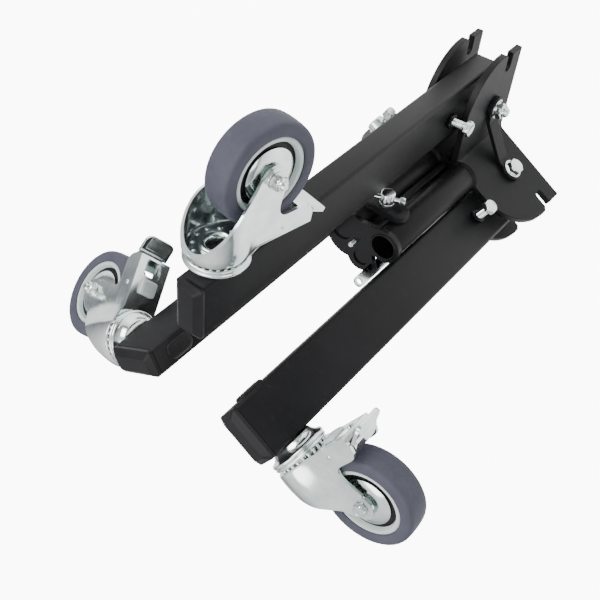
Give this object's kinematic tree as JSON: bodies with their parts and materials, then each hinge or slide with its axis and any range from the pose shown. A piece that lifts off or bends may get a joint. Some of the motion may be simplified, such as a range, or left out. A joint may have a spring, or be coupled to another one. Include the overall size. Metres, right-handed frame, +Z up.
{
  "type": "paddock stand base",
  "caption": "Folding wheeled base of a motorcycle paddock stand: a hub with folded steel arms, braked swivel casters and a short column with a clamp screw.",
  "frame": {"origin": "on the hub's axis, in the plane of the hub's lower edges, which the folded base stands on", "axes": "+Z up along the hub's axis, the way the folded arms and the column point; +Y towards arm 1"},
  "size_m": [0.475, 0.3651, 0.5493],
  "materials": {
    "black_powder_steel": "satin black powder coat",
    "zinc_plate": "bright zinc plate",
    "black_plastic": "matt black moulded plastic",
    "grey_tyre": "grey thermoplastic rubber",
    "grey_plastic": "light grey moulded plastic"
  },
  "bodies": {
    "hub": {"hub_core": "black_powder_steel", "hub_plate_1": "black_powder_steel", "hub_plate_2": "black_powder_steel", "hub_plate_3": "black_powder_steel", "corner_strap_1": "black_powder_steel", "corner_strap_2": "black_powder_steel", "corner_strap_3": "black_powder_steel", "pivot_bolt_1": "zinc_plate", "pivot_bolt_2": "zinc_plate", "pivot_bolt_3": "zinc_plate", "pivot_nut_1": "zinc_plate", "pivot_nut_2": "zinc_plate", "pivot_nut_3": "zinc_plate", "pivot_sleeve_1": "zinc_plate", "pivot_sleeve_2": "zinc_plate", "pivot_sleeve_3": "zinc_plate", "main_tube": "black_powder_steel", "second_tube": "black_powder_steel", "web_bar": "black_powder_steel", "end_plate": "black_powder_steel", "clamp_pad": "black_plastic", "latch_strap": "zinc_plate"},
    "arm_1": {"arm_tube_1": "black_powder_steel", "arm_cap_1": "black_plastic", "arm_plug_1": "black_plastic", "stop_bolt_1": "zinc_plate", "stop_nut_1": "zinc_plate", "caster_head_1": "zinc_plate"},
    "caster_fork_1": {"fork_1": "zinc_plate", "axle_bolt_1": "zinc_plate", "axle_nut_1": "zinc_plate"},
    "caster_wheel_1": {"wheel_rim_1": "grey_plastic", "tyre_1": "grey_tyre"},
    "caster_pedal_1": {"brake_pedal_1": "zinc_plate"},
    "arm_2": {"arm_tube_2": "black_powder_steel", "arm_cap_2": "black_plastic", "arm_plug_2": "black_plastic", "stop_bolt_2": "zinc_plate", "stop_nut_2": "zinc_plate", "caster_head_2": "zinc_plate"},
    "caster_fork_2": {"fork_2": "zinc_plate", "axle_bolt_2": "zinc_plate", "axle_nut_2": "zinc_plate"},
    "caster_wheel_2": {"wheel_rim_2": "grey_plastic", "tyre_2": "grey_tyre"},
    "caster_pedal_2": {"brake_pedal_2": "zinc_plate"},
    "arm_3": {"arm_tube_3": "black_powder_steel", "arm_cap_3": "black_plastic", "arm_plug_3": "black_plastic", "stop_bolt_3": "zinc_plate", "stop_nut_3": "zinc_plate", "caster_head_3": "zinc_plate"},
    "caster_fork_3": {"fork_3": "zinc_plate", "axle_bolt_3": "zinc_plate", "axle_nut_3": "zinc_plate"},
    "caster_wheel_3": {"wheel_rim_3": "grey_plastic", "tyre_3": "grey_tyre"},
    "caster_pedal_3": {"brake_pedal_3": "zinc_plate"},
    "clamp_screw_unit": {"clamp_screw": "zinc_plate"},
    "tommy_bar_unit": {"tommy_bar": "zinc_plate"}
  },
  "joints": [
    {"name": "arm_fold_1", "type": "hinge", "parent": "hub", "child": "arm_1", "pos_m": [0, 0.066, 0.044], "axis": [-1, 0, 0], "range_deg": [0, 90]},
    {"name": "caster_swivel_1", "type": "hinge", "parent": "arm_1", "child": "caster_fork_1", "pos_m": [0, 0.112, 0.509], "axis": [0, 1, 0], "continuous": true},
    {"name": "wheel_spin_1", "type": "hinge", "parent": "caster_fork_1", "child": "caster_wheel_1", "pos_m": [0.00915, 0.196, 0.46596], "axis": [-0.9781, 0, -0.2079], "continuous": true},
    {"name": "brake_press_1", "type": "hinge", "parent": "caster_fork_1", "child": "caster_pedal_1", "pos_m": [0.01705, 0.145, 0.42879], "axis": [0.9781, 0, 0.2079], "range_deg": [0, 18]},
    {"name": "arm_fold_2", "type": "hinge", "parent": "hub", "child": "arm_2", "pos_m": [-0.05716, -0.033, 0.044], "axis": [0.5, -0.866, 0], "range_deg": [0, 90]},
    {"name": "caster_swivel_2", "type": "hinge", "parent": "arm_2", "child": "caster_fork_2", "pos_m": [-0.09699, -0.056, 0.509], "axis": [-0.866, -0.5, 0], "continuous": true},
    {"name": "wheel_spin_2", "type": "hinge", "parent": "caster_fork_2", "child": "caster_wheel_2", "pos_m": [-0.18329, -0.07454, 0.47433], "axis": [0.394, -0.6824, -0.6157], "continuous": true},
    {"name": "brake_press_2", "type": "hinge", "parent": "caster_fork_2", "child": "caster_pedal_2", "pos_m": [-0.15082, -0.02878, 0.44438], "axis": [-0.394, 0.6824, 0.6157], "range_deg": [0, 18]},
    {"name": "arm_fold_3", "type": "hinge", "parent": "hub", "child": "arm_3", "pos_m": [0.05716, -0.033, 0.044], "axis": [0.5, 0.866, 0], "range_deg": [0, 90]},
    {"name": "caster_swivel_3", "type": "hinge", "parent": "arm_3", "child": "caster_fork_3", "pos_m": [0.09699, -0.056, 0.509], "axis": [0.866, -0.5, 0], "continuous": true},
    {"name": "wheel_spin_3", "type": "hinge", "parent": "caster_fork_3", "child": "caster_wheel_3", "pos_m": [0.19169, -0.05999, 0.50593], "axis": [0.0349, 0.0604, 0.9976], "continuous": true},
    {"name": "brake_press_3", "type": "hinge", "parent": "caster_fork_3", "child": "caster_pedal_3", "pos_m": [0.16647, -0.00166, 0.50328], "axis": [-0.0349, -0.0604, -0.9976], "range_deg": [0, 18]},
    {"name": "clamp_screw_turn", "type": "hinge", "parent": "hub", "child": "clamp_screw_unit", "pos_m": [0.01775, 0.0303, 0.245], "axis": [0, 1, 0], "continuous": true},
    {"name": "tommy_bar_slide", "type": "slide", "parent": "clamp_screw_unit", "child": "tommy_bar_unit", "axis": [0.9205, 0, -0.3907], "range_m": [-0.005, 0.012]}
  ]
}
